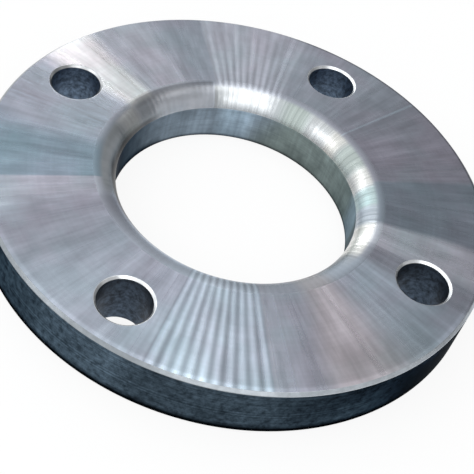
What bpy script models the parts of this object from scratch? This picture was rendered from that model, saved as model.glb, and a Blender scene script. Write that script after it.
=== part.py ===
"""Lap joint flange: a loose steel backing ring for a lapped stub end, NPS 3, class 150.

The ring is turned from one forging. Its upper face is the lap face: a flat, finely turned
annulus whose inner corner is rounded to clear the fillet behind the lap of a stub end.
The rounding starts tangent to the face and runs into the straight bore, which cuts it
off a little before it would stand upright, so a crisp line is left round the bore.
Four plain bolt holes go straight through and straddle the X and Y centre lines.

Metres, +Z up. The origin is the centre of the back face, which the ring rests on,
and the axis of the bore is +Z.
"""

import math

import bpy

# Ring
THICKNESS = 0.0223
BORE_DIAMETER = 0.0920

# Lap corner: the arc leaves the face tangentially and turns through this angle down to the bore
LAP_CORNER_RADIUS = 0.0095
LAP_CORNER_SWEEP = math.radians(75.5)

# Bolt holes
BOLT_COUNT = 4
BOLT_CIRCLE_DIAMETER = 0.1524
BOLT_HOLE_DIAMETER = 0.01905

# From a bolt's axis out to the rim, so the ring is 190.5 mm across
BOLT_TO_RIM = 0.01905

# Edges broken at 45 degrees
RIM_FACE_CHAMFER = 0.0010
RIM_BACK_CHAMFER = 0.0012
BORE_BACK_CHAMFER = 0.0006
BOLT_HOLE_CHAMFER = 0.0008

# How finely the round forms are divided
RING_STEPS = 144
CORNER_STEPS = 10
HOLE_STEPS = 48

# Faces that meet at more than this angle keep a crisp edge between them
CRISP_ANGLE = math.radians(12.0)

# How far a cutter stands clear of the face that it starts from
CUTTER_CLEARANCE = 0.002

MERGE_DISTANCE = 0.00001


def clear_scene():
    """Removes whatever the scene holds, so that the model stands alone."""
    for obj in list(bpy.data.objects):
        bpy.data.objects.remove(obj, do_unlink=True)


def new_collection(name):
    collection = bpy.data.collections.new(name)
    bpy.context.scene.collection.children.link(collection)
    return collection


def turned_steel():
    """Bare carbon steel as the lathe leaves it."""
    material = bpy.data.materials.new("turned_steel")
    material.use_nodes = True
    shader = material.node_tree.nodes["Principled BSDF"]
    shader.inputs["Base Color"].default_value = (0.56, 0.58, 0.61, 1.0)
    shader.inputs["Metallic"].default_value = 1.0
    shader.inputs["Roughness"].default_value = 0.34
    return material


def lap_corner(bore_radius):
    """Points of the rounded corner, from where it leaves the bore up to where it meets the face.

    The arc's centre lies one corner radius under the face. At angle a from the vertical
    the arc is at (centre - r sin a, THICKNESS - r + r cos a), and a = 0 is its tangent
    point on the face.
    """
    centre_x = bore_radius + LAP_CORNER_RADIUS * math.sin(LAP_CORNER_SWEEP)
    centre_z = THICKNESS - LAP_CORNER_RADIUS
    points = []
    for step in range(CORNER_STEPS + 1):
        angle = LAP_CORNER_SWEEP * (1.0 - step / CORNER_STEPS)
        x = centre_x - LAP_CORNER_RADIUS * math.sin(angle)
        z = centre_z + LAP_CORNER_RADIUS * math.cos(angle)
        points.append((x, 0.0, z))
    return points


def ring_profile():
    """Half section of the ring: down the rim, in along the back, up the bore and over the lap corner."""
    rim = BOLT_CIRCLE_DIAMETER / 2 + BOLT_TO_RIM
    bore = BORE_DIAMETER / 2
    rim_side = [
        (rim - RIM_FACE_CHAMFER, 0.0, THICKNESS),
        (rim, 0.0, THICKNESS - RIM_FACE_CHAMFER),
        (rim, 0.0, RIM_BACK_CHAMFER),
        (rim - RIM_BACK_CHAMFER, 0.0, 0.0),
    ]
    bore_foot = [
        (bore + BORE_BACK_CHAMFER, 0.0, 0.0),
        (bore, 0.0, BORE_BACK_CHAMFER),
    ]
    return rim_side + bore_foot + lap_corner(bore)


def hole_profile():
    """Half section of a bolt hole's cutter: straight through, flared at both ends for the chamfers."""
    radius = BOLT_HOLE_DIAMETER / 2
    top = THICKNESS + CUTTER_CLEARANCE
    foot = -CUTTER_CLEARANCE
    flare = radius + BOLT_HOLE_CHAMFER + CUTTER_CLEARANCE
    return [
        (0.0, 0.0, top),
        (flare, 0.0, top),
        (radius, 0.0, THICKNESS - BOLT_HOLE_CHAMFER),
        (radius, 0.0, BOLT_HOLE_CHAMFER),
        (flare, 0.0, foot),
        (0.0, 0.0, foot),
    ]


def profile_mesh(name, points, closed):
    """A chain of edges through the points, which a Screw modifier then turns about Z."""
    edges = [(i, i + 1) for i in range(len(points) - 1)]
    if closed:
        edges.append((len(points) - 1, 0))
    mesh = bpy.data.meshes.new(name)
    mesh.from_pydata(points, edges, [])
    return mesh


def turn(obj, steps):
    """Revolves the object's profile once about its own Z axis."""
    screw = obj.modifiers.new("turn", "SCREW")
    screw.axis = "Z"
    screw.angle = math.tau
    screw.steps = steps
    screw.render_steps = steps
    screw.use_merge_vertices = True
    screw.merge_threshold = MERGE_DISTANCE


def turned_ring(collection):
    """The ring before drilling."""
    ring = bpy.data.objects.new("flange_ring", profile_mesh("ring_section", ring_profile(), True))
    collection.objects.link(ring)
    turn(ring, RING_STEPS)
    return ring


def bolt_hole_cutters(collection):
    """One cutter for each bolt, evenly spaced, with the X and Y axes midway between holes."""
    section = profile_mesh("bolt_hole_section", hole_profile(), False)
    spacing = math.tau / BOLT_COUNT
    for number in range(BOLT_COUNT):
        angle = spacing * (number + 0.5)
        cutter = bpy.data.objects.new(f"bolt_hole_{number + 1}", section)
        cutter.location.x = BOLT_CIRCLE_DIAMETER / 2 * math.cos(angle)
        cutter.location.y = BOLT_CIRCLE_DIAMETER / 2 * math.sin(angle)
        cutter.hide_render = True
        cutter.display_type = "WIRE"
        collection.objects.link(cutter)
        turn(cutter, HOLE_STEPS)


def drill(ring, cutters):
    """Cuts the bolt holes out of the ring."""
    cut = ring.modifiers.new("drill_bolt_holes", "BOOLEAN")
    cut.operation = "DIFFERENCE"
    cut.operand_type = "COLLECTION"
    cut.collection = cutters
    cut.solver = "EXACT"


def finish(ring, material):
    """Makes the drilled ring one plain mesh, smooth on its turned surfaces and crisp at its edges."""
    bpy.context.view_layer.update()
    graph = bpy.context.evaluated_depsgraph_get()
    mesh = bpy.data.meshes.new_from_object(ring.evaluated_get(graph))
    mesh.name = ring.name
    ring.modifiers.clear()
    ring.data = mesh
    mesh.materials.clear()
    mesh.materials.append(material)
    mesh.shade_smooth()
    mesh.set_sharp_from_angle(angle=CRISP_ANGLE)
    flat = ring.modifiers.new("keep_flat_faces_flat", "WEIGHTED_NORMAL")
    flat.keep_sharp = True


def main():
    clear_scene()
    ring = turned_ring(new_collection("lap_joint_flange"))
    cutters = new_collection("bolt_hole_cutters")
    bolt_hole_cutters(cutters)
    drill(ring, cutters)
    finish(ring, turned_steel())


main()
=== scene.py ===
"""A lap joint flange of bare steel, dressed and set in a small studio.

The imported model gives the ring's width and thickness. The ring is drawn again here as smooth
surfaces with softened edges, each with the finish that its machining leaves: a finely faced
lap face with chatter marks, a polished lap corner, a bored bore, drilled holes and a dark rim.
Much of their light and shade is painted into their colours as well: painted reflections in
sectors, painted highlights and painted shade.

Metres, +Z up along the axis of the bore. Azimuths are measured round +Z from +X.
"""

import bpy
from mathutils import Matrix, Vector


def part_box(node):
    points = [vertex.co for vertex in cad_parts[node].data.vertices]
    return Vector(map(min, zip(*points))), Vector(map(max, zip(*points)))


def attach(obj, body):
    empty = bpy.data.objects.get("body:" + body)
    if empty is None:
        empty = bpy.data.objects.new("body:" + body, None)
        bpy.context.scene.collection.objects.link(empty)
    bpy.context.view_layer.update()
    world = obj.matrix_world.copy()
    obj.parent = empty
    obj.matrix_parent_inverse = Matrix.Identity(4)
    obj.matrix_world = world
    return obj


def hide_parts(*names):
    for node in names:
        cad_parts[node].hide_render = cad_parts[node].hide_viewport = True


bl_info = {
    "name": "Lap joint flange",
    "version": (1, 0, 0),
    "blender": (4, 5, 0),
    "location": "View3D > Sidebar > Flange",
    "description": "Builds a turned and drilled steel ring with its finishes, and a studio round it",
    "category": "Object",
}

import math

import bmesh
import bpy
import numpy as np
from mathutils import Matrix, Vector

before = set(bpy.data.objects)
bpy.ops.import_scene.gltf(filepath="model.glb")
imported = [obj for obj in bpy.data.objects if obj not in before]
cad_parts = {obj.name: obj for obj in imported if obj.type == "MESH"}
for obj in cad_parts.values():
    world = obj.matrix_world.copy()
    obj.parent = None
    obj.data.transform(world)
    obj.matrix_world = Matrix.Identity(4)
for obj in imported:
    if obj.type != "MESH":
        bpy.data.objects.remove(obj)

NODE = "flange_ring"
BODY = "root"
LOW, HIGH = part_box(NODE)
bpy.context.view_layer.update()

MM = 0.001
TURN = math.tau

# Faces that meet at more than this angle keep a crisp edge between them
CRISP_ANGLE = math.radians(12.0)

# Steps along the straight profiles of the rim, and of the bore and the bolt holes
RIM_STEPS = 8
WALL_STEPS = 6


class FlangeSizes(bpy.types.PropertyGroup):
    """Sizes of the ring."""

    outer_diameter: bpy.props.FloatProperty(
        name="Outer diameter", description="Across the rim", default=HIGH.x - LOW.x, unit="LENGTH")
    thickness: bpy.props.FloatProperty(
        name="Thickness", description="From the back face to the lap face",
        default=HIGH.z - LOW.z, unit="LENGTH")
    bore_diameter: bpy.props.FloatProperty(
        name="Bore", description="Across the straight part of the bore", default=92.0 * MM, unit="LENGTH")
    corner_radius: bpy.props.FloatProperty(
        name="Lap corner radius", description="Radius of the rounded corner between lap face and bore",
        default=9.5 * MM, unit="LENGTH")
    corner_sweep: bpy.props.FloatProperty(
        name="Lap corner sweep", description="Angle that the corner turns through above the bore",
        default=math.radians(75.5), subtype="ANGLE")
    bolt_count: bpy.props.IntProperty(
        name="Bolts", description="How many bolt holes there are", default=4, min=2)
    bolt_circle: bpy.props.FloatProperty(
        name="Bolt circle", description="Diameter of the circle through the bolt holes' centres",
        default=152.4 * MM, unit="LENGTH")
    bolt_hole: bpy.props.FloatProperty(
        name="Bolt hole", description="Diameter of a bolt hole", default=19.05 * MM, unit="LENGTH")
    rim_face_chamfer: bpy.props.FloatProperty(
        name="Rim chamfer, lap side", description="Width of the broken edge of the lap face",
        default=1.0 * MM, unit="LENGTH")
    rim_back_chamfer: bpy.props.FloatProperty(
        name="Rim chamfer, back side", description="Width of the broken edge of the back face",
        default=1.2 * MM, unit="LENGTH")
    bore_back_chamfer: bpy.props.FloatProperty(
        name="Bore chamfer", description="Width of the broken edge where the bore meets the back",
        default=0.6 * MM, unit="LENGTH")
    hole_chamfer: bpy.props.FloatProperty(
        name="Bolt hole chamfer", description="Width of the broken edges of a bolt hole",
        default=0.8 * MM, unit="LENGTH")
    shoulder: bpy.props.FloatProperty(
        name="Shoulder", description="Radius that softens both sides of each broken edge",
        default=0.3 * MM, unit="LENGTH")


class FlangeFinish(bpy.types.PropertyGroup):
    """Colours of the ring's surfaces, and how many chatter marks its face has."""

    # The face's, the corner's and the bore's tones are laid on in sectors as painted reflection
    plain: bpy.props.FloatVectorProperty(
        name="Plain", description="Usual tone of the faced steel",
        default=(0.42, 0.445, 0.51), size=3, subtype="COLOR", min=0.0, max=1.0)
    teal: bpy.props.FloatVectorProperty(
        name="Teal", description="Cool tone of the faced steel",
        default=(0.29, 0.385, 0.455), size=3, subtype="COLOR", min=0.0, max=1.0)
    slate: bpy.props.FloatVectorProperty(
        name="Slate", description="Dull cool tone of the faced steel",
        default=(0.225, 0.275, 0.325), size=3, subtype="COLOR", min=0.0, max=1.0)
    mauve: bpy.props.FloatVectorProperty(
        name="Mauve", description="Dull warm tone of the faced steel",
        default=(0.285, 0.285, 0.335), size=3, subtype="COLOR", min=0.0, max=1.0)
    pale: bpy.props.FloatVectorProperty(
        name="Pale", description="Bright tone of the faced steel",
        default=(0.53, 0.61, 0.70), size=3, subtype="COLOR", min=0.0, max=1.0)
    beige: bpy.props.FloatVectorProperty(
        name="Beige", description="Warm stain on the faced steel",
        default=(0.565, 0.555, 0.585), size=3, subtype="COLOR", min=0.0, max=1.0)
    corner_colour: bpy.props.FloatVectorProperty(
        name="Lap corner", description="Steel of the rounded corner",
        default=(0.50, 0.53, 0.56), size=3, subtype="COLOR", min=0.0, max=1.0)
    green: bpy.props.FloatVectorProperty(
        name="Green", description="Cool dull tone of the rounded corner",
        default=(0.47, 0.54, 0.50), size=3, subtype="COLOR", min=0.0, max=1.0)
    cream: bpy.props.FloatVectorProperty(
        name="Cream", description="Warm light tone of the rounded corner",
        default=(0.76, 0.75, 0.71), size=3, subtype="COLOR", min=0.0, max=1.0)
    aqua: bpy.props.FloatVectorProperty(
        name="Aqua", description="Cool light tone of the rounded corner",
        default=(0.55, 0.72, 0.72), size=3, subtype="COLOR", min=0.0, max=1.0)
    silver: bpy.props.FloatVectorProperty(
        name="Silver", description="Clean bright tone of the rounded corner",
        default=(0.68, 0.71, 0.78), size=3, subtype="COLOR", min=0.0, max=1.0)
    # Painted highlight: the tone of the brightest sectors of the face and the corner
    highlight_tone: bpy.props.FloatVectorProperty(
        name="Burnished", description="Brightest tone of the rounded corner",
        default=(0.92, 0.92, 0.89), size=3, subtype="COLOR", min=0.0, max=1.0)
    # Partly the bored steel's own tone, partly painted shade inside the bore
    bore_colour: bpy.props.FloatVectorProperty(
        name="Bore", description="Steel inside the bore",
        default=(0.215, 0.270, 0.325), size=3, subtype="COLOR", min=0.0, max=1.0)
    bore_green: bpy.props.FloatVectorProperty(
        name="Bore, green side", description="Greener and duller steel inside the bore",
        default=(0.165, 0.205, 0.195), size=3, subtype="COLOR", min=0.0, max=1.0)
    bore_light: bpy.props.FloatVectorProperty(
        name="Bore, light side", description="Lighter steel inside the bore",
        default=(0.31, 0.41, 0.50), size=3, subtype="COLOR", min=0.0, max=1.0)
    # Partly the rim's dark scale, partly a painted dark reflection of dark surroundings
    rim_colour: bpy.props.FloatVectorProperty(
        name="Rim", description="Dark scale left on the rim",
        default=(0.042, 0.060, 0.078), size=3, subtype="COLOR", min=0.0, max=1.0)
    # Partly the drilled steel's own colour, partly painted shade inside the holes
    hole_colour: bpy.props.FloatVectorProperty(
        name="Bolt holes", description="Drilled walls",
        default=(0.046, 0.064, 0.090), size=3, subtype="COLOR", min=0.0, max=1.0)
    edge_colour: bpy.props.FloatVectorProperty(
        name="Rim's broken edges", description="Steel of the rim's and the bore's chamfers",
        default=(0.31, 0.335, 0.36), size=3, subtype="COLOR", min=0.0, max=1.0)
    # Partly painted highlight: far brighter than the face's steel, so that the holes' broken edges glint
    hole_edge_colour: bpy.props.FloatVectorProperty(
        name="Bolt holes' broken edges", description="Bright cut steel round the bolt holes",
        default=(0.86, 0.88, 0.90), size=3, subtype="COLOR", min=0.0, max=1.0)
    chatter_count: bpy.props.IntProperty(
        name="Chatter marks", description="Chatter marks round the lap face", default=137, min=1)


class FlangeStudio(bpy.types.PropertyGroup):
    """Camera, floor and lights."""

    azimuth: bpy.props.FloatProperty(
        name="Azimuth", description="Where the camera stands round the ring",
        default=math.radians(-116.6), subtype="ANGLE")
    elevation: bpy.props.FloatProperty(
        name="Elevation", description="How far the camera looks down",
        default=math.radians(42.76), subtype="ANGLE")
    distance: bpy.props.FloatProperty(
        name="Distance", description="From the camera to the point that it looks at",
        default=393.6 * MM, unit="LENGTH")
    aim: bpy.props.FloatVectorProperty(
        name="Aim", description="Point of the lap face's plane that the camera looks at",
        default=(-24.16 * MM, -18.87 * MM), size=2, unit="LENGTH")
    roll: bpy.props.FloatProperty(
        name="Roll", description="Tilt of the camera about its own line of sight",
        default=math.radians(15.285), subtype="ANGLE")
    lens: bpy.props.FloatProperty(
        name="Lens", description="Focal length on a 36 mm sensor, in millimetres", default=80.58)
    shift: bpy.props.FloatVectorProperty(
        name="Shift", description="Lens shift that frames the ring, as a share of the picture's width",
        default=(0.0992, -0.0422), size=2)
    floor_colour: bpy.props.FloatVectorProperty(
        name="Floor", description="Colour of the floor",
        default=(0.93, 0.93, 0.93), size=3, subtype="COLOR", min=0.0, max=1.0)


# Surfaces


def turned(profile, azimuths):
    """A turned surface: S(v, u) = (r(v) cos u, r(v) sin u, z(v)), from a profile of (r, z) points."""
    r, z = np.asarray(profile).T
    x = np.outer(r, np.cos(azimuths))
    y = np.outer(r, np.sin(azimuths))
    return np.stack((x, y, np.outer(z, np.ones_like(azimuths))), axis=-1)


def straight(start, end, steps):
    """Points spaced evenly on the line P(t) = start + t (end - start)."""
    t = np.linspace(0.0, 1.0, steps + 1)[:, None]
    return np.asarray(start) + t * (np.asarray(end) - np.asarray(start))


def broken_edge(corner, arriving, leaving, width, shoulder, steps=5):
    """A 45 degree chamfer across a square corner, with both its sides softened.

    The profile runs with the metal on its right. It leaves the arriving line at A and joins the
    leaving line at B, each one chamfer width from the corner. At A and at B an arc of the shoulder's
    radius touches both lines: P(t) = C + rot(-45 t)(S - C), with its centre C to the right of S.
    """
    arriving, leaving = np.asarray(arriving, float), np.asarray(leaving, float)
    slant = (arriving + leaving) / math.sqrt(2.0)
    reach = shoulder * math.tan(TURN / 16)
    turn = -np.linspace(0.0, TURN / 8, steps + 1)
    points = []
    for place, heading in ((corner - width * arriving, arriving), (corner + width * leaving, slant)):
        start = place - reach * heading
        centre = start + shoulder * np.array((heading[1], -heading[0]))
        spoke = start - centre
        points.append(centre + np.stack((
            spoke[0] * np.cos(turn) - spoke[1] * np.sin(turn),
            spoke[0] * np.sin(turn) + spoke[1] * np.cos(turn)), axis=-1))
    return np.concatenate(points)


def lap_corner(sizes, steps=32):
    """The rounded corner, from the bore up to the face.

    The arc's centre lies one corner radius under the face. At angle a from the vertical the arc is
    at (centre - R sin a, top - R + R cos a), and a = 0 is its tangent point on the face.
    """
    radius = sizes.corner_radius
    angle = np.linspace(sizes.corner_sweep, 0.0, steps + 1)
    centre = sizes.bore_diameter / 2 + radius * math.sin(sizes.corner_sweep)
    r = centre - radius * np.sin(angle)
    z = sizes.thickness - radius + radius * np.cos(angle)
    return np.stack((r, z), axis=-1)


def hole_angles(sizes, inner, outer, columns, side_steps):
    """Outline of one hole's sector as radii and azimuths from the hole, and the angles that face it.

    The sector runs half a bolt spacing to each side of the hole. In the flat plane of radius against
    azimuth it is a rectangle, so the rays from the hole's centre to the outline's points never cross.
    """
    half = TURN / 2 / sizes.bolt_count
    arc = np.linspace(-half, half, columns + 1)[:-1]
    side = np.linspace(outer, inner, side_steps + 1)[:-1]
    back = np.linspace(inner, outer, side_steps + 1)[:-1]
    radius = np.concatenate((np.full(columns, outer), side, np.full(columns, inner), back))
    azimuth = np.concatenate((arc, np.full(side_steps, half), -arc, np.full(side_steps, -half)))
    centre = sizes.bolt_circle / 2
    return radius, azimuth, np.arctan2(azimuth * centre, radius - centre)


def drilled_sector(sizes, hole_azimuth, mouth, z, outline, angles, rows=10):
    """Flat face round one bolt hole: rings of points from the hole's mouth out to the sector's outline.

    P(v, u) = (1 - w) H(u) + w O(u) in the plane of radius against azimuth, for the mouth H and the
    outline O. The share w is v to the power of 1.5, so that the rings crowd round the mouth.
    """
    centre = sizes.bolt_circle / 2
    x = centre + mouth * np.cos(angles)
    y = mouth * np.sin(angles)
    share = (np.linspace(0.0, 1.0, rows + 1) ** 1.5)[:, None]
    r = (1 - share) * np.hypot(x, y) + share * outline[0]
    a = (1 - share) * np.arctan2(y, x) + share * outline[1] + hole_azimuth
    return np.stack((r * np.cos(a), r * np.sin(a), np.full_like(r, z)), axis=-1)


def drilled_wall(sizes, hole_azimuth, profile, angles):
    """Wall of one bolt hole: its profile of (radius, z) turned about the hole's own axis."""
    centre = sizes.bolt_circle / 2
    r, z = np.asarray(profile).T
    x = centre + np.outer(r, np.cos(angles))
    y = np.outer(r, np.sin(angles))
    c, s = math.cos(hole_azimuth), math.sin(hole_azimuth)
    return np.stack((x * c - y * s, x * s + y * c, np.outer(z, np.ones_like(angles))), axis=-1)


def grid_faces(rows, columns, first, flipped):
    """Four-sided faces of a grid that closes on itself along its columns."""
    v, u = np.meshgrid(np.arange(rows - 1), np.arange(columns), indexing="ij")
    this_row = first + v * columns
    next_row = this_row + columns
    after = (u + 1) % columns
    corners = (this_row + u, next_row + u, next_row + after, this_row + after)
    faces = np.stack(corners, axis=-1).reshape(-1, 4)
    return faces[:, ::-1] if flipped else faces


def closed_mesh(name, patches, materials):
    """Joins patches of (grid, material number, flipped) into one closed mesh with smooth shading."""
    points, faces, slots = [], [], []
    first = 0
    for grid, material, flipped in patches:
        rows, columns = grid.shape[:2]
        points.append(grid.reshape(-1, 3))
        faces.append(grid_faces(rows, columns, first, flipped))
        slots.append(np.full(len(faces[-1]), material))
        first += rows * columns
    points, faces, slots = np.concatenate(points), np.concatenate(faces), np.concatenate(slots)
    mesh = bpy.data.meshes.new(name)
    mesh.from_pydata(points, [], faces)
    for material in materials:
        mesh.materials.append(material)
    mesh.polygons.foreach_set("material_index", slots.astype(np.int32))
    weld(mesh)
    mesh.shade_smooth()
    mesh.set_sharp_from_angle(angle=CRISP_ANGLE)
    return mesh


def weld(mesh, reach=0.001 * MM):
    """Joins the points that neighbouring patches share, and checks that nothing is left open."""
    shell = bmesh.new()
    shell.from_mesh(mesh)
    bmesh.ops.remove_doubles(shell, verts=shell.verts, dist=reach)
    open_edges = sum(not edge.is_manifold for edge in shell.edges)
    shell.to_mesh(mesh)
    shell.free()
    if open_edges:
        raise RuntimeError(f"{mesh.name} has {open_edges} open edges")


# Finishes


class Nodes:
    """Shorthand for a material's nodes: each call adds one and returns the socket with its result."""

    def __init__(self, tree):
        self.tree = tree

    def add(self, kind, result=0, inputs=None, **settings):
        """Adds a node, fills its inputs, and gives one of its outputs."""
        node = self.tree.nodes.new(kind)
        for name, value in settings.items():
            setattr(node, name, value)
        for key, value in (inputs or {}).items():
            self.fill(node.inputs[key], value)
        return node.outputs[result]

    def fill(self, socket, value):
        """Links an input to another node's output, or sets it to a plain value."""
        if isinstance(value, bpy.types.NodeSocket):
            self.tree.links.new(value, socket)
        else:
            socket.default_value = value

    def maths(self, operation, *values):
        """One sum, product or other operation on its values."""
        return self.add("ShaderNodeMath", inputs=dict(enumerate(values)), operation=operation)

    def scaled(self, value, low, high, to_low=0.0, to_high=1.0):
        """The value carried from one range to another, and held there."""
        return self.add("ShaderNodeMapRange", inputs={
            "Value": value, "From Min": low, "From Max": high, "To Min": to_low, "To Max": to_high})

    def spread(self, noise, low, high, reach=0.2):
        """Noise, which keeps within a short reach of a half, carried to a range and held there."""
        return self.scaled(noise, 0.5 - reach, 0.5 + reach, low, high)

    def smooth(self, value, low, high):
        """The value eased from 0 at one end of a range to 1 at the other."""
        return self.add("ShaderNodeMapRange", inputs={
            "Value": value, "From Min": low, "From Max": high}, interpolation_type="SMOOTHSTEP")

    def shade(self, share, change):
        """A shade that is 1 where the share is 0, and the given change where the share is 1."""
        return self.scaled(share, 0.0, 1.0, 1.0, change)

    def blend(self, share, first, second, how="MIX"):
        """A colour between two, or the first times the second where how is MULTIPLY."""
        return self.add(
            "ShaderNodeMix", 2, {0: share, 6: first, 7: second}, data_type="RGBA", blend_type=how)


def opaque(colour):
    """A colour as a shader's input takes it, with nothing showing through."""
    return (*colour, 1.0)


def ring_coordinates(nodes):
    """Where a point of the ring lies.

    Gives its place, its radius, azimuth and height, the level unit vector from the axis to it, the
    way that the grooves run there, and a slow unevenness by which the sectors' soft sides wander.
    """
    place = nodes.add("ShaderNodeTexCoord", "Object")
    split = nodes.tree.nodes.new("ShaderNodeSeparateXYZ")
    nodes.fill(split.inputs[0], place)
    x, y, z = split.outputs
    x_squared, y_squared = nodes.maths("MULTIPLY", x, x), nodes.maths("MULTIPLY", y, y)
    radius = nodes.maths("SQRT", nodes.maths("ADD", x_squared, y_squared))
    azimuth = nodes.maths("ARCTAN2", y, x)
    flat = nodes.add("ShaderNodeCombineXYZ", inputs={0: x, 1: y})
    outwards = nodes.add("ShaderNodeVectorMath", inputs={0: flat}, operation="NORMALIZE")
    along = nodes.add("ShaderNodeCombineXYZ", inputs={0: nodes.maths("MULTIPLY", y, -1.0), 1: x})
    groove = nodes.add("ShaderNodeVectorTransform", inputs={0: along},
                       vector_type="VECTOR", convert_from="OBJECT", convert_to="WORLD")
    uneven = nodes.add("ShaderNodeTexNoise", inputs={"Vector": place, "Scale": 32.0, "Detail": 0.0})
    return {"place": place, "radius": radius, "azimuth": azimuth, "height": z, "outwards": outwards,
            "groove": groove, "wander": nodes.spread(uneven, -0.4, 0.4, reach=0.3)}


def round_noise(nodes, ring, scale, detail, seed, drift=0.0):
    """Noise that changes round the ring, and along its radius only as far as it drifts."""
    depth = nodes.maths("MULTIPLY_ADD", ring["radius"], drift, seed)
    offset = nodes.add("ShaderNodeCombineXYZ", inputs={2: depth})
    vector = nodes.add("ShaderNodeVectorMath", inputs={0: ring["outwards"], 1: offset}, operation="ADD")
    return nodes.add("ShaderNodeTexNoise", inputs={"Vector": vector, "Scale": scale, "Detail": detail})


def line_noise(nodes, along, per_metre, detail=2.0):
    """Noise that changes along one length only, as tool marks do across their grooves."""
    return nodes.add("ShaderNodeTexNoise", inputs={
        "W": along, "Scale": per_metre, "Detail": detail, "Roughness": 0.6}, noise_dimensions="1D")


def patch_noise(nodes, ring, per_metre, detail=3.0, roughness=0.55):
    """Blotches in the ring's own space."""
    return nodes.add("ShaderNodeTexNoise", inputs={
        "Vector": ring["place"], "Scale": per_metre, "Detail": detail, "Roughness": roughness})


def steel(name, anisotropy):
    """A metal whose grooves run round the ring: its material, nodes, shader and ring coordinates."""
    material = bpy.data.materials.new(name)
    material.use_nodes = True
    nodes = Nodes(material.node_tree)
    shader = material.node_tree.nodes["Principled BSDF"]
    ring = ring_coordinates(nodes)
    shader.inputs["Metallic"].default_value = 1.0
    shader.inputs["Anisotropic"].default_value = anisotropy
    shader.inputs["Anisotropic Rotation"].default_value = 0.25
    nodes.fill(shader.inputs["Tangent"], ring["groove"])
    return material, nodes, shader, ring


def grooves(nodes, along, per_metre, depth):
    """Height of the grooves that a tool leaves across one length."""
    return nodes.scaled(line_noise(nodes, along, per_metre), 0.0, 1.0, 0.0, depth)


def relief(nodes, shader, height):
    """Raises the surface by a height in metres."""
    normal = nodes.add("ShaderNodeBump", inputs={"Strength": 1.0, "Distance": 1.0, "Height": height})
    nodes.fill(shader.inputs["Normal"], normal)


# A sector is its start, its end and the softness of both its sides, in degrees.
# A side that is softer than this, in radians, wanders.
STRAIGHT_SIDE = 0.03


def sector_share(nodes, ring, start, end, soft_start, soft_end):
    """How far a point lies inside a sector: 1 within it and 0 outside, with soft sides.

    The angle from the sector's middle is atan2 of the cross and the dot product with the middle's
    direction. The softer a side is, the more it wanders.
    """
    middle = math.radians((start + end) / 2)
    half = math.radians((end - start) / 2)
    along = nodes.add("ShaderNodeVectorMath", "Value", operation="DOT_PRODUCT", inputs={
        0: ring["outwards"], 1: (math.cos(middle), math.sin(middle), 0.0)})
    across = nodes.add("ShaderNodeVectorMath", "Value", operation="DOT_PRODUCT", inputs={
        0: ring["outwards"], 1: (-math.sin(middle), math.cos(middle), 0.0)})
    angle = nodes.maths("ARCTAN2", across, along)
    shares = []
    for soft, side in ((math.radians(soft_start), -half), (math.radians(soft_end), half)):
        wandered = angle
        if soft > STRAIGHT_SIDE:
            wandered = nodes.maths("MULTIPLY_ADD", ring["wander"], soft, angle)
        reach = math.copysign(soft / 2, side)
        shares.append(nodes.smooth(wandered, side + reach, side - reach))
    return nodes.maths("MULTIPLY", *shares)


def sector_shade(nodes, ring, sector, change, band=None):
    """A shade that is 1 outside a sector and the given change inside it, or only in one band of it."""
    share = sector_share(nodes, ring, *sector)
    if band is not None:
        share = nodes.maths("MULTIPLY", band, share)
    return nodes.shade(share, change)


# Sectors of the lap face, of its corner and of the bore, painted a little brighter or duller: painted
# reflection that stands in for the lamps and the room seen in the steel, partly with the steel's own
# tint. Each has a tone, by its name among the finish's colours, and the tone's strength.
FACE_SECTORS = (
    (-33.0, -4.0, 7.0, 2.0, "slate", 0.72),
    (-4.0, 12.0, 2.0, 8.0, "mauve", 0.74),
    (12.0, 33.0, 8.0, 8.0, "mauve", 0.55),
    (24.2, 24.9, 0.5, 0.5, "pale", 0.55),
    (33.0, 57.0, 8.0, 1.0, "mauve", 0.12),
    (57.4, 86.5, 1.5, 1.0, "silver", 0.20),
    (70.0, 86.5, 12.0, 1.0, "silver", 0.20),
    (86.5, 96.0, 1.0, 6.0, "slate", 0.25),
    (103.0, 134.0, 10.0, 5.0, "silver", 0.45),
    (119.0, 131.5, 4.0, 5.0, "highlight_tone", 0.60),
    (146.0, 158.0, 8.0, 8.0, "pale", 0.35),
    (158.0, 177.2, 12.0, 0.8, "teal", 0.90),
    (177.4, 187.0, 0.8, 6.0, "silver", 0.25),
    (188.0, 209.0, 5.0, 7.0, "mauve", 0.42),
    (200.0, 236.0, 12.0, 0.6, "pale", 0.25),
    (228.0, 236.0, 6.0, 0.6, "pale", 0.45),
    (236.0, 261.9, 0.6, 0.6, "pale", 1.0),
    (243.0, 261.9, 7.0, 0.6, "plain", 0.30),
    (250.0, 261.9, 9.0, 0.6, "slate", 0.25),
    (264.0, 278.0, 4.0, 8.0, "pale", 0.15),
    (278.0, 298.0, 10.0, 14.0, "beige", 0.95),
    (294.0, 312.0, 10.0, 6.0, "pale", 0.70),
    (321.0, 333.0, 5.0, 3.0, "silver", 0.72),
)
CORNER_SECTORS = (
    (-48.0, -27.0, 6.0, 5.0, "highlight_tone", 0.95),
    (-27.0, -17.0, 4.0, 3.0, "pale", 0.50),
    (-16.5, -6.0, 3.0, 3.0, "aqua", 0.62),
    (-5.0, 6.0, 4.0, 5.0, "cream", 0.62),
    (6.0, 19.0, 6.0, 6.0, "green", 0.70),
    (19.5, 27.0, 4.0, 5.0, "cream", 0.80),
    (27.5, 41.0, 4.0, 7.0, "cream", 0.25),
    (41.0, 57.0, 7.0, 12.0, "green", 0.75),
    (60.0, 87.6, 12.0, 0.8, "highlight_tone", 0.18),
    (87.6, 128.0, 0.8, 12.0, "silver", 0.85),
    (128.0, 143.0, 7.0, 8.0, "silver", 0.95),
    (131.0, 143.0, 6.0, 8.0, "highlight_tone", 0.60),
)
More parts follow.
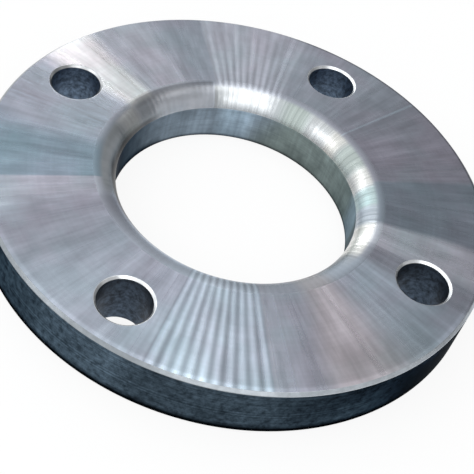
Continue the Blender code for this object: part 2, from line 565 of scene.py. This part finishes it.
BORE_SECTORS = (
    (-25.0, 62.0, 10.0, 24.0, "bore_green", 0.90),
    (-20.0, -3.0, 6.0, 10.0, "bore_light", 0.45),
    (70.0, 86.0, 14.0, 10.0, "bore_light", 0.70),
)
# Sectors where the chatter marks show as light and dark spokes, as painted highlight where the reflection
# falls, and how strongly at the two radii
SPOKE_RADII = (55.0 * MM, 94.0 * MM)
HIGHLIGHT_SPOKES = (
    (235.9, 261.9, 0.8, 0.8, 0.24, 0.31),
    (57.4, 86.5, 1.5, 1.5, 0.20, 0.05),
)


def sector_colours(nodes, ring, finish, plain, sectors):
    """The plain tone, with each sector's own tone laid over it in turn."""
    colour = opaque(plain)
    for *sector, tone, strength in sectors:
        share = nodes.maths("MULTIPLY", sector_share(nodes, ring, *sector), strength)
        colour = nodes.blend(share, colour, opaque(getattr(finish, tone)))
    return colour


def shaded(nodes, colour, *shades):
    """The colour times each shade."""
    for shade in shades:
        grey = nodes.add("ShaderNodeCombineColor", inputs={0: shade, 1: shade, 2: shade})
        colour = nodes.blend(1.0, colour, grey, "MULTIPLY")
    return colour


def chatter_wave(nodes, ring, finish):
    """One wave for each chatter mark, from -1 in its valley to 1 on its crest."""
    return nodes.maths("SINE", nodes.maths("MULTIPLY", ring["azimuth"], float(finish.chatter_count)))


def painted_spoke_light(nodes, ring, chatter):
    """Painted highlight on the chatter: brighter on the crests and duller in the valleys, in the sectors
    where the reflection falls.
    """
    depth = 0.0
    for *sector, at_corner, at_rim in HIGHLIGHT_SPOKES:
        share = sector_share(nodes, ring, *sector)
        strength = nodes.scaled(ring["radius"], *SPOKE_RADII, at_corner, at_rim)
        depth = nodes.maths("MULTIPLY_ADD", share, strength, depth)
    return nodes.maths("MULTIPLY_ADD", depth, chatter, 1.0)


def faced_steel(finish):
    """The lap face: fine concentric grooves with chatter marks across them, in cool and warm sectors of
    painted reflection, partly the steel's own tint.
    """
    material, nodes, shader, ring = steel("faced_steel", 0.92)
    colour = sector_colours(nodes, ring, finish, finish.plain, FACE_SECTORS)
    chatter = chatter_wave(nodes, ring, finish)
    rays = nodes.spread(round_noise(nodes, ring, 12.0, 3.0, seed=2.1), 0.90, 1.08)
    streaks = nodes.spread(round_noise(nodes, ring, 55.0, 2.0, seed=6.4, drift=0.8), 0.93, 1.06)
    smudges = nodes.spread(round_noise(nodes, ring, 17.0, 4.0, seed=7.7, drift=5.0), 0.87, 1.12)
    stains = nodes.scaled(patch_noise(nodes, ring, 55.0), 0.35, 0.70, 0.92, 1.06)
    rings = nodes.spread(line_noise(nodes, ring["radius"], 700.0), 0.97, 1.02)
    spoke_light = painted_spoke_light(nodes, ring, chatter)
    warmth = nodes.spread(patch_noise(nodes, ring, 38.0, 4.0), 0.0, 1.0, reach=0.12)
    tint = nodes.blend(warmth, (0.96, 1.01, 1.01, 1.0), (1.04, 0.98, 1.01, 1.0))
    # Painted shade: darker just inside the rim in one sector
    sector_change = nodes.smooth(ring["radius"], 93.1 * MM, 93.9 * MM)
    sector_change = sector_shade(nodes, ring, (-45.0, 62.0, 15.0, 25.0), 0.5, sector_change)
    # Lighter just inside the rim in one sector
    rim_band = nodes.smooth(ring["radius"], 92.0 * MM, 93.2 * MM)
    rim_band = sector_shade(nodes, ring, (195.0, 315.0, 20.0, 10.0), 1.28, rim_band)
    near = nodes.smooth(ring["radius"], 86.0 * MM, 70.0 * MM)
    near = sector_shade(nodes, ring, (284.0, 314.0, 12.0, 8.0), 1.22, near)
    nodes.fill(shader.inputs["Base Color"],
               shaded(nodes, nodes.blend(1.0, colour, tint, "MULTIPLY"),
                      rays, streaks, smudges, stains, rings, spoke_light, sector_change, rim_band, near))
    rough = nodes.spread(round_noise(nodes, ring, 9.0, 3.0, seed=5.3), 0.25, 0.29)
    nodes.fill(shader.inputs["Roughness"], rough)
    depth = nodes.spread(round_noise(nodes, ring, 2.5, 1.0, seed=8.2), 0.0, 0.007 * MM, reach=0.15)
    fine = grooves(nodes, ring["radius"], 500.0, 0.014 * MM)
    relief(nodes, shader, nodes.maths("MULTIPLY_ADD", chatter, depth, fine))
    return material


def corner_steel(finish, sizes):
    """The lap corner: it starts like the face, and on one side it carries painted highlights and is
    streaked farther down.
    """
    material, nodes, shader, ring = steel("corner_steel", 1.0)
    chatter = chatter_wave(nodes, ring, finish)
    height = ring["height"]
    top = sizes.thickness
    foot = top - sizes.corner_radius * (1.0 - math.cos(sizes.corner_sweep))

    # Painted light and shade where the corner looks like the face: lighter at its top in one sector,
    # darker lower down
    fall = nodes.scaled(height, top, top - 2.0 * MM)
    lift = sector_shade(nodes, ring, (160.0, 235.0, 16.0, 20.0), 1.6, fall)
    under = nodes.scaled(height, top - 2.2 * MM, top - 3.6 * MM, 1.0, 0.45)
    like_face = shaded(nodes, sector_colours(nodes, ring, finish, finish.plain, FACE_SECTORS),
                       painted_spoke_light(nodes, ring, chatter), lift, under)

    calm = sector_share(nodes, ring, 88.0, 182.0, 1.0, 10.0)
    darkest = nodes.scaled(calm, 0.0, 1.0, 0.84, 0.95)
    lightest = nodes.scaled(calm, 0.0, 1.0, 1.12, 1.04)
    rays = nodes.spread(round_noise(nodes, ring, 14.0, 3.0, seed=3.7), darkest, lightest)
    streaks = nodes.spread(round_noise(nodes, ring, 60.0, 2.0, seed=1.4), darkest, lightest)
    # Painted shade: darker towards the corner's foot
    toe = nodes.scaled(height, foot, foot + 1.5 * MM, 0.80, 1.0)
    own = shaded(nodes, sector_colours(nodes, ring, finish, finish.corner_colour, CORNER_SECTORS),
                 rays, streaks, toe)
    below = nodes.smooth(height, top - 0.1 * MM, top - 0.8 * MM)
    share = nodes.maths("MULTIPLY", below, sector_share(nodes, ring, -48.0, 184.0, 16.0, 8.0))

    # Darker bands where the corner turns away from the light, each in its own sector
    brow = nodes.maths("MULTIPLY", nodes.smooth(height, top, top - 0.12 * MM),
                       nodes.smooth(height, top - 1.7 * MM, top - 0.5 * MM))
    brow = sector_shade(nodes, ring, (88.0, 132.0, 1.0, 14.0), 0.60, brow)
    lip = nodes.smooth(height, top - 2.4 * MM, top - 4.0 * MM)
    lip = sector_shade(nodes, ring, (160.0, 240.0, 12.0, 20.0), 0.15, lip)
    depth = nodes.scaled(height, top - 3.2 * MM, top - 5.4 * MM)
    depth = sector_shade(nodes, ring, (136.0, 245.0, 36.0, 20.0), 0.04, depth)
    sole = nodes.smooth(height, top - 4.6 * MM, top - 6.2 * MM)
    sole = sector_shade(nodes, ring, (120.0, 200.0, 12.0, 20.0), 0.35, sole)
    nodes.fill(shader.inputs["Base Color"],
               shaded(nodes, nodes.blend(share, like_face, own), depth, brow, lip, sole))
    shader.inputs["Roughness"].default_value = 0.24
    fine = grooves(nodes, height, 900.0, 0.008 * MM)
    relief(nodes, shader, nodes.maths("MULTIPLY_ADD", chatter, 0.005 * MM, fine))
    return material


def bored_steel(finish):
    """The bore: a coarser cut, streaked where the tool shook, with faint lines that run round it."""
    material, nodes, shader, ring = steel("bored_steel", 0.7)
    rays = nodes.spread(round_noise(nodes, ring, 7.0, 2.0, seed=4.4), 0.86, 1.14, reach=0.18)
    streaks = nodes.spread(round_noise(nodes, ring, 38.0, 2.0, seed=9.1), 0.91, 1.08)
    lines = nodes.spread(line_noise(nodes, ring["height"], 900.0), 0.90, 1.05)
    blotches = nodes.spread(patch_noise(nodes, ring, 140.0, 4.0, 0.65), 0.80, 1.18, reach=0.15)
    # Painted shade: darker in two sectors and at the foot, more so at the foot in one sector; lighter
    # towards the top
    dim_sector = sector_shade(nodes, ring, (128.0, 210.0, 60.0, 20.0), 0.12)
    dim_end = sector_shade(nodes, ring, (-60.0, -24.0, 10.0, 12.0), 0.40)
    foot = nodes.scaled(ring["height"], 0.8 * MM, 2.2 * MM, 0.25, 1.0)
    heel = nodes.smooth(ring["height"], 5.0 * MM, 1.0 * MM)
    heel = sector_shade(nodes, ring, (112.0, 200.0, 24.0, 20.0), 0.25, heel)
    rise = nodes.scaled(ring["height"], 2.0 * MM, 13.0 * MM, 0.86, 1.12)
    colour = sector_colours(nodes, ring, finish, finish.bore_colour, BORE_SECTORS)
    nodes.fill(shader.inputs["Base Color"],
               shaded(nodes, colour, rays, streaks, lines, blotches, dim_sector, dim_end, foot, heel, rise))
    shader.inputs["Roughness"].default_value = 0.42
    shader.inputs["Specular Tint"].default_value = (0.35, 0.38, 0.42, 1.0)
    relief(nodes, shader, grooves(nodes, ring["height"], 700.0, 0.010 * MM))
    return material


def rim_scale_and_dark_reflection(finish):
    """The rim: turned and darkened, partly as scale and partly as a painted dark reflection, with fine
    speckled lines that run round it.
    """
    material, nodes, shader, ring = steel("rim_scale_and_dark_reflection", 0.6)
    lines = nodes.spread(line_noise(nodes, ring["height"], 1400.0, 3.0), 0.75, 1.3)
    speckle = nodes.spread(patch_noise(nodes, ring, 420.0, 4.0, 0.7), 0.55, 1.55, reach=0.15)
    patches = nodes.spread(patch_noise(nodes, ring, 60.0), 0.8, 1.25)
    # Painted shadow along the foot; lighter in one sector; painted dark reflection in one duller sector
    foot = nodes.scaled(ring["height"], 2.4 * MM, 4.4 * MM, 0.06, 1.0)
    sector_change = sector_shade(nodes, ring, (208.0, 229.0, 14.0, 14.0), 1.6)
    dim_sector = sector_shade(nodes, ring, (292.0, 345.0, 50.0, 20.0), 0.15)
    nodes.fill(shader.inputs["Base Color"],
               shaded(nodes, opaque(finish.rim_colour), lines, speckle, patches, foot, sector_change, dim_sector))
    shader.inputs["Roughness"].default_value = 0.5
    shader.inputs["Specular Tint"].default_value = (0.30, 0.33, 0.36, 1.0)
    relief(nodes, shader, grooves(nodes, ring["height"], 900.0, 0.025 * MM))
    return material


def back_steel(finish):
    """The back face: faced once, with wider grooves and no chatter."""
    material, nodes, shader, ring = steel("back_steel", 0.9)
    rings = nodes.spread(line_noise(nodes, ring["radius"], 400.0), 0.85, 1.05)
    nodes.fill(shader.inputs["Base Color"], shaded(nodes, opaque(finish.plain), rings))
    shader.inputs["Roughness"].default_value = 0.45
    relief(nodes, shader, grooves(nodes, ring["radius"], 400.0, 0.030 * MM))
    return material


def drilled_steel(finish):
    """The bolt holes' walls: rough from the drill, and dark, partly as painted shade inside the holes,
    with painted light in the holes on one half of the ring.
    """
    material, nodes, shader, ring = steel("drilled_steel", 0.0)
    lines = nodes.spread(line_noise(nodes, ring["height"], 1100.0), 0.88, 1.1)
    patches = nodes.spread(patch_noise(nodes, ring, 480.0, 4.0, 0.7), 0.45, 1.7, reach=0.15)
    # Painted light: lighter walls in the holes on one half of the ring
    lit_holes = sector_shade(nodes, ring, (0.0, 180.0, 20.0, 20.0), 2.3)
    nodes.fill(shader.inputs["Base Color"],
               shaded(nodes, opaque(finish.hole_colour), lines, patches, lit_holes))
    shader.inputs["Roughness"].default_value = 0.45
    relief(nodes, shader, grooves(nodes, ring["height"], 800.0, 0.006 * MM))
    return material


def broken_steel(name, colour, sector, change):
    """A broken edge, nicked here and there, with painted light in one sector of the ring: brighter or
    duller there by the given change.
    """
    material, nodes, shader, ring = steel(name, 0.5)
    nicks = nodes.spread(patch_noise(nodes, ring, 400.0), 0.85, 1.08)
    sector_change = sector_shade(nodes, ring, sector, change)
    nodes.fill(shader.inputs["Base Color"], shaded(nodes, opaque(colour), nicks, sector_change))
    shader.inputs["Roughness"].default_value = 0.30
    return material


# The ring


# The ring's materials, in their order on its mesh
FACE, CORNER, BORE, RIM, BACK, HOLE, EDGE, HOLE_EDGE = range(8)


def ring_patches(sizes, columns_per_bolt=90, side_steps=24):
    """Every surface of the ring as (grid, material number, flipped).

    The turned surfaces share one ring of columns, and each face is split into one sector for each
    bolt hole, so that all neighbours meet point to point.
    """
    top = sizes.thickness
    rim = sizes.outer_diameter / 2
    bore = sizes.bore_diameter / 2
    hole = sizes.bolt_hole / 2
    outwards, inwards = (1.0, 0.0), (-1.0, 0.0)
    up, down = (0.0, 1.0), (0.0, -1.0)
    rim_top = broken_edge((rim, top), outwards, down, sizes.rim_face_chamfer, sizes.shoulder)
    rim_foot = broken_edge((rim, 0.0), down, inwards, sizes.rim_back_chamfer, sizes.shoulder)
    bore_foot = broken_edge((bore, 0.0), inwards, up, sizes.bore_back_chamfer, sizes.shoulder)
    corner = lap_corner(sizes)
    # A hole's metal lies outside its wall, so its profile is drawn beyond the axis and mirrored
    hole_top = broken_edge((-hole, top), outwards, down, sizes.hole_chamfer, sizes.shoulder)
    hole_foot = broken_edge((-hole, 0.0), down, inwards, sizes.hole_chamfer, sizes.shoulder)
    hole_top[:, 0] *= -1.0
    hole_foot[:, 0] *= -1.0

    azimuths = np.linspace(0.0, TURN, sizes.bolt_count * columns_per_bolt, endpoint=False)
    patches = [
        (turned(rim_top, azimuths), EDGE, False),
        (turned(straight(rim_top[-1], rim_foot[0], RIM_STEPS), azimuths), RIM, False),
        (turned(rim_foot, azimuths), RIM, False),
        (turned(bore_foot, azimuths), BORE, False),
        (turned(straight(bore_foot[-1], corner[0], WALL_STEPS), azimuths), BORE, False),
        (turned(corner, azimuths), CORNER, False),
    ]
    *lap_outline, angles = hole_angles(sizes, corner[-1][0], rim_top[0][0], columns_per_bolt, side_steps)
    *back_outline, _ = hole_angles(sizes, bore_foot[0][0], rim_foot[-1][0], columns_per_bolt, side_steps)
    wall = straight(hole_top[-1], hole_foot[0], WALL_STEPS)
    for number in range(sizes.bolt_count):
        azimuth = TURN * (number + 0.5) / sizes.bolt_count
        patches += [
            (drilled_sector(sizes, azimuth, hole_top[0][0], top, lap_outline, angles), FACE, False),
            (drilled_sector(sizes, azimuth, hole_foot[-1][0], 0.0, back_outline, angles), BACK, True),
            (drilled_wall(sizes, azimuth, hole_top, angles), HOLE_EDGE, True),
            (drilled_wall(sizes, azimuth, wall, angles), HOLE, True),
            (drilled_wall(sizes, azimuth, hole_foot, angles), HOLE_EDGE, True),
        ]
    return patches


class FLANGE_OT_turned_ring(bpy.types.Operator):
    """Build the turned and drilled ring with its finishes"""

    bl_idname = "flange.turned_ring"
    bl_label = "Turned ring"

    def execute(self, context):
        sizes = context.scene.flange_sizes
        finish = context.scene.flange_finish
        materials = [
            faced_steel(finish),
            corner_steel(finish, sizes),
            bored_steel(finish),
            rim_scale_and_dark_reflection(finish),
            back_steel(finish),
            drilled_steel(finish),
            # Painted highlight on the rim's broken edges in one sector, and painted shade on the bolt
            # holes' in another
            broken_steel("broken_edge", finish.edge_colour, (264.0, 330.0, 20.0, 20.0), 2.15),
            broken_steel("broken_hole_edge", finish.hole_edge_colour, (100.0, 170.0, 20.0, 20.0), 0.65),
        ]
        mesh = closed_mesh("turned_ring", ring_patches(sizes), materials)
        ring = bpy.data.objects.new("turned_ring", mesh)
        context.scene.collection.objects.link(ring)
        flat = ring.modifiers.new("keep_flat_faces_flat", "WEIGHTED_NORMAL")
        flat.keep_sharp = True
        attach(ring, BODY)
        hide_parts(NODE)
        return {"FINISHED"}


# The studio


# How much of what the camera and the reflections see of the floor is plain white
FLOOR_WHITE = 0.88

# Brightness of the room's bright side and of its dim side
ROOM_BRIGHT = 1.10
ROOM_DIM = 0.22


def add_camera(context, studio, lap_height):
    """The camera looks at a point of the lap face's plane, tilted about its own line of sight."""
    flat = studio.distance * math.cos(studio.elevation)
    place = Vector((
        flat * math.cos(studio.azimuth), flat * math.sin(studio.azimuth),
        lap_height + studio.distance * math.sin(studio.elevation)))
    ahead = (Vector((studio.aim[0], studio.aim[1], lap_height)) - place).normalized()
    level = ahead.cross(Vector((0.0, 0.0, 1.0))).normalized()
    upright = level.cross(ahead)
    right = math.cos(studio.roll) * level + math.sin(studio.roll) * upright
    above = math.cos(studio.roll) * upright - math.sin(studio.roll) * level
    lens = bpy.data.cameras.new("camera")
    lens.lens = studio.lens
    lens.sensor_width = 36.0
    lens.shift_x, lens.shift_y = studio.shift
    lens.clip_start = 0.01
    camera = bpy.data.objects.new("camera", lens)
    facing = Matrix((right, above, -ahead)).transposed().to_4x4()
    camera.matrix_world = Matrix.Translation(place) @ facing
    context.scene.collection.objects.link(camera)
    context.scene.camera = camera


def studio_axes(studio):
    """Level directions to the camera's right, away from the camera, and up."""
    away = Vector((-math.cos(studio.azimuth), -math.sin(studio.azimuth), 0.0))
    up = Vector((0.0, 0.0, 1.0))
    return away.cross(up), away, up


def add_lamp(context, studio, name, place, along, size, brightness, colour=(1.0, 1.0, 1.0)):
    """A soft box that faces the ring, its place and its long side given as right, away and up.

    Its brightness is that of its own surface, where 1 is a white sheet in the room's light.
    """
    axes = studio_axes(studio)
    place = sum((amount * axis for amount, axis in zip(place, axes)), Vector())
    long_side = sum((amount * axis for amount, axis in zip(along, axes)), Vector())
    behind = place.normalized()
    short_side = long_side.cross(behind).normalized()
    light = bpy.data.lights.new(name, "AREA")
    light.shape = "RECTANGLE"
    light.size, light.size_y = size
    light.energy = brightness * math.pi * size[0] * size[1]
    light.color = colour
    lamp = bpy.data.objects.new(name, light)
    facing = Matrix((short_side, behind.cross(short_side), behind)).transposed().to_4x4()
    lamp.matrix_world = Matrix.Translation(place) @ facing
    lamp.visible_camera = False
    context.scene.collection.objects.link(lamp)


def add_floor(context, studio, reach=20.0, rings=24, columns=96, height=-0.1 * MM):
    """A round floor: F(v, u) = (r(v) cos u, r(v) sin u, height), with its rings closer in its middle.

    It lies a hair under the flange, so that the two never share a plane, and it can't be seen from below.
    """
    r = reach * np.linspace(0.0, 1.0, rings + 1)[:0:-1] ** 2
    profile = np.stack((r, np.full_like(r, height)), axis=-1)
    grid = turned(profile, np.linspace(0.0, TURN, columns, endpoint=False))
    middle = np.array([[0.0, 0.0, height]])
    inner = (rings - 1) * columns + np.arange(columns)
    fan = np.stack((inner, np.roll(inner, -1), np.full(columns, rings * columns)), axis=-1)
    mesh = bpy.data.meshes.new("floor")
    mesh.from_pydata(
        np.concatenate((grid.reshape(-1, 3), middle)), [],
        [*grid_faces(rings, columns, 0, True).tolist(), *fan.tolist()])
    material = bpy.data.materials.new("floor")
    material.use_nodes = True
    nodes = Nodes(material.node_tree)
    shader = material.node_tree.nodes["Principled BSDF"]
    shader.inputs["Base Color"].default_value = opaque(studio.floor_colour)
    shader.inputs["Roughness"].default_value = 0.9
    shader.inputs["Specular IOR Level"].default_value = 0.2
    path = nodes.tree.nodes.new("ShaderNodeLightPath").outputs
    seen = nodes.maths("MAXIMUM", path["Is Camera Ray"], path["Is Glossy Ray"])
    seen = nodes.maths("MAXIMUM", seen, path["Is Transmission Ray"])
    white = nodes.add("ShaderNodeEmission", inputs={"Color": (1.0, 1.0, 1.0, 1.0), "Strength": 1.0})
    mixed = nodes.add("ShaderNodeMixShader", inputs={
        0: nodes.maths("MULTIPLY", seen, FLOOR_WHITE), 1: shader.outputs[0], 2: white})
    clear = nodes.add("ShaderNodeBsdfTransparent")
    from_below = nodes.add("ShaderNodeNewGeometry", "Backfacing")
    one_sided = nodes.add("ShaderNodeMixShader", inputs={0: from_below, 1: mixed, 2: clear})
    nodes.fill(nodes.tree.nodes["Material Output"].inputs["Surface"], one_sided)
    mesh.materials.append(material)
    floor = bpy.data.objects.new("floor", mesh)
    context.scene.collection.objects.link(floor)


def add_world(context, studio):
    """A pale room, bright on the camera's left and dim behind the ring on its right."""
    world = bpy.data.worlds.new("room")
    world.use_nodes = True
    nodes = Nodes(world.node_tree)
    right, away, _ = studio_axes(studio)
    dim = (0.93 * right + 0.37 * away).normalized()
    direction = nodes.add("ShaderNodeTexCoord", "Generated")
    along = nodes.add(
        "ShaderNodeVectorMath", "Value", operation="DOT_PRODUCT", inputs={0: direction, 1: dim})
    share = nodes.smooth(along, -0.2, 0.7)
    background = world.node_tree.nodes["Background"]
    background.inputs["Color"].default_value = (0.97, 0.99, 1.0, 1.0)
    nodes.fill(background.inputs["Strength"], nodes.scaled(share, 0.0, 1.0, ROOM_BRIGHT, ROOM_DIM))
    context.scene.world = world


# Each lamp's name, its place and its long side as right, away and up, its width and length in
# metres, its brightness, and its colour where it isn't white
LAMPS = (
    ("overhead box", (0.100, 0.0, 0.90), (0.0, 1.0, 0.0), (0.270, 0.70), 1.5),
    ("front strip", (0.18, -0.62, 0.62), (0.0, 0.7, 0.7), (0.55, 0.45), 1.5),
    ("back strip", (-0.36, 0.74, 0.34), (0.0, 0.0, 1.0), (0.055, 0.30), 5.5),
    ("back box", (-0.63, 0.52, 0.38), (0.0, 0.0, 1.0), (0.12, 0.25), 1.05, (0.80, 1.0, 1.0)),
    ("left box", (-0.68, 0.32, 0.49), (0.0, 0.0, 1.0), (0.15, 0.42), 2.1),
    ("left front box", (-0.62, -0.31, 0.58), (0.0, 0.0, 1.0), (0.33, 0.34), 2.0),
    ("right box", (0.35, 0.245, 0.795), (0.0, 1.0, 0.0), (0.20, 0.20), 1.2, (1.0, 0.97, 0.94)),
    ("low right box", (0.87, -0.23, 0.42), (0.0, 0.0, 1.0), (0.75, 0.55), 0.35),
    ("low back box", (0.51, 0.82, 0.25), (0.0, 0.0, 1.0), (0.50, 0.35), 0.25),
)


class FLANGE_OT_stage(bpy.types.Operator):
    """Set the floor, the room, the lamps and the camera"""

    bl_idname = "flange.stage"
    bl_label = "Studio"

    def execute(self, context):
        studio = context.scene.flange_studio
        add_floor(context, studio)
        add_world(context, studio)
        for lamp in LAMPS:
            add_lamp(context, studio, *lamp)
        add_camera(context, studio, context.scene.flange_sizes.thickness)
        context.scene.view_settings.view_transform = "Standard"
        return {"FINISHED"}


class FLANGE_PT_panel(bpy.types.Panel):
    """Lists the ring's settings and the buttons that build the ring and the studio"""

    bl_label = "Lap joint flange"
    bl_idname = "FLANGE_PT_panel"
    bl_space_type = "VIEW_3D"
    bl_region_type = "UI"
    bl_category = "Flange"

    def draw(self, context):
        layout = self.layout
        groups = (("Sizes", "flange_sizes"), ("Finish", "flange_finish"), ("Studio", "flange_studio"))
        for title, group in groups:
            box = layout.box()
            box.label(text=title)
            settings = getattr(context.scene, group)
            for name in settings.__annotations__:
                box.prop(settings, name)
        for operator in (FLANGE_OT_turned_ring, FLANGE_OT_stage):
            layout.operator(operator.bl_idname)


CLASSES = (
    FlangeSizes,
    FlangeFinish,
    FlangeStudio,
    FLANGE_OT_turned_ring,
    FLANGE_OT_stage,
    FLANGE_PT_panel,
)


def register():
    for cls in CLASSES:
        bpy.utils.register_class(cls)
    bpy.types.Scene.flange_sizes = bpy.props.PointerProperty(type=FlangeSizes)
    bpy.types.Scene.flange_finish = bpy.props.PointerProperty(type=FlangeFinish)
    bpy.types.Scene.flange_studio = bpy.props.PointerProperty(type=FlangeStudio)


def unregister():
    del bpy.types.Scene.flange_studio
    del bpy.types.Scene.flange_finish
    del bpy.types.Scene.flange_sizes
    for cls in reversed(CLASSES):
        bpy.utils.unregister_class(cls)


def main():
    register()
    bpy.ops.flange.turned_ring()
    bpy.ops.flange.stage()


if __name__ == "__main__":
    main()
